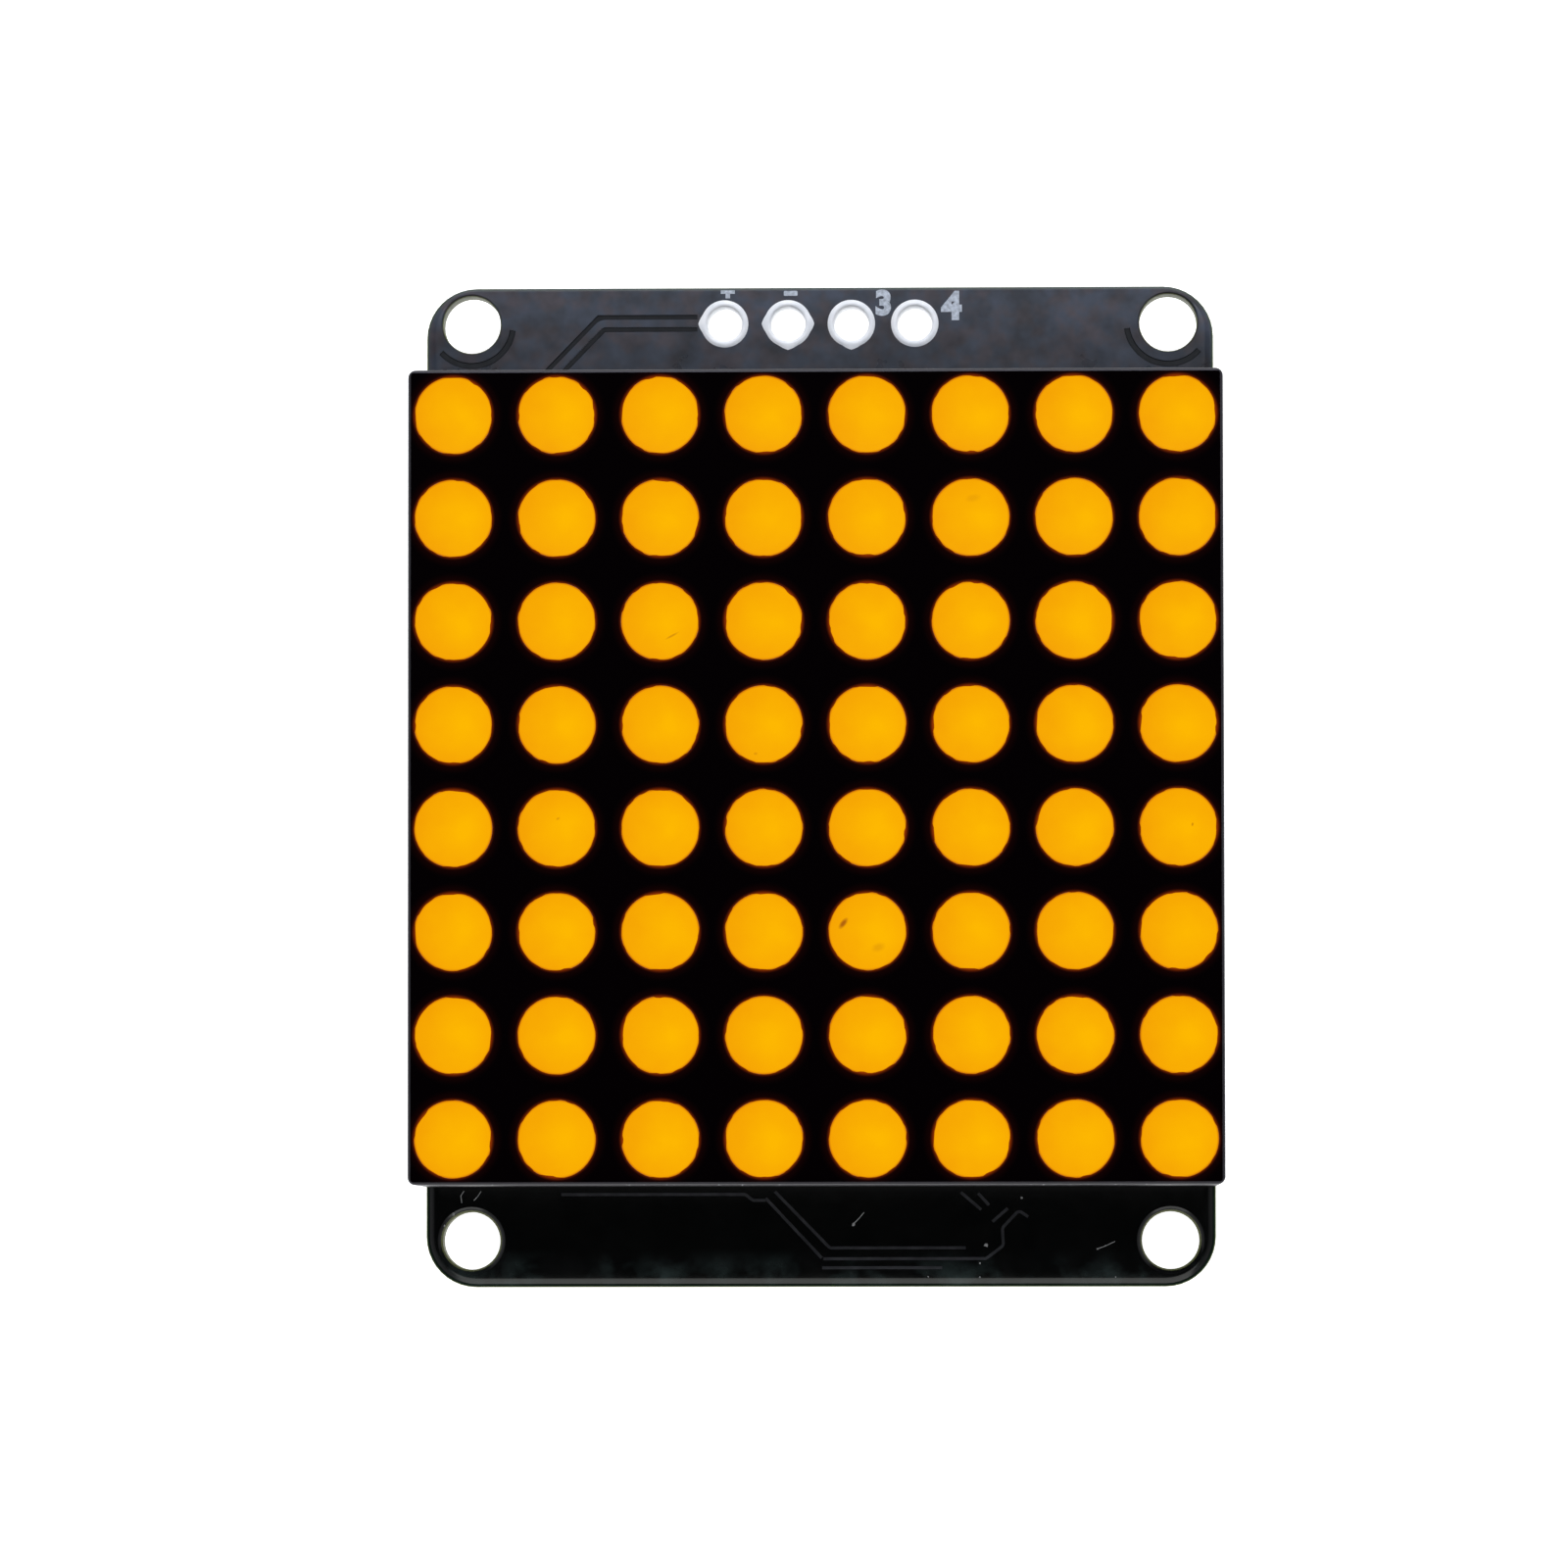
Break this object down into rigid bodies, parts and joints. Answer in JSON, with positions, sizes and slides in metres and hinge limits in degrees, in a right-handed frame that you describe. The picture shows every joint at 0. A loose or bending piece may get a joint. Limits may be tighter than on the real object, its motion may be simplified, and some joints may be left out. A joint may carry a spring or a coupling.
{
  "type": "led dot matrix",
  "caption": "Square amber LED dot matrix display soldered to a small black driver board with corner mounting holes and a row of header holes.",
  "frame": {"origin": "middle of the footprint, on the surface that the part lies on (the flat top of the driver chip under the board)", "axes": "+Z out of the display's face, +Y towards the row of header holes, +X to the right as the display is read"},
  "size_m": [0.032, 0.04, 0.0121],
  "materials": {
    "housing_plastic": "moulded black plastic with an inked face",
    "diffuser_resin": "cast amber resin, lit from behind",
    "led_board_laminate": "white solder mask",
    "die_crystal": "polished crystal",
    "pin_metal": "tinned steel wire",
    "board_laminate": "black solder mask over glass laminate",
    "tinned_pad": "tinned copper",
    "solder": "bright solder",
    "chip_epoxy": "moulded black epoxy",
    "lead_metal": "tinned lead frame",
    "resistor_body": "black glaze on alumina",
    "capacitor_body": "fired tan ceramic",
    "end_cap_metal": "tinned",
    "diode_epoxy": "moulded black epoxy"
  },
  "bodies": {
    "root": {"display_housing": "housing_plastic", "diffuser_resin": "diffuser_resin", "led_board": "led_board_laminate", "led_dice": "die_crystal", "display_pins_upper": "pin_metal", "display_pins_lower": "pin_metal", "circuit_board": "board_laminate", "power_pad": "tinned_pad", "ground_pad": "tinned_pad", "data_pad": "tinned_pad", "clock_pad": "tinned_pad", "pin_joints_upper": "solder", "pin_joints_lower": "solder", "driver_body": "chip_epoxy", "driver_leads_upper": "lead_metal", "driver_leads_lower": "lead_metal", "data_pull_up": "resistor_body", "data_pull_up_caps": "end_cap_metal", "clock_pull_up": "resistor_body", "clock_pull_up_caps": "end_cap_metal", "bulk_capacitor": "capacitor_body", "bulk_capacitor_caps": "end_cap_metal", "supply_capacitor": "capacitor_body", "supply_capacitor_caps": "end_cap_metal", "address_resistor_0": "resistor_body", "address_resistor_1": "resistor_body", "address_resistor_2": "resistor_body", "address_resistor_caps_0": "end_cap_metal", "address_resistor_caps_1": "end_cap_metal", "address_resistor_caps_2": "end_cap_metal", "address_link_0": "tinned_pad", "address_link_1": "tinned_pad", "address_link_2": "tinned_pad", "address_diode": "diode_epoxy", "address_diode_tabs": "lead_metal"}
  },
  "joints": []
}
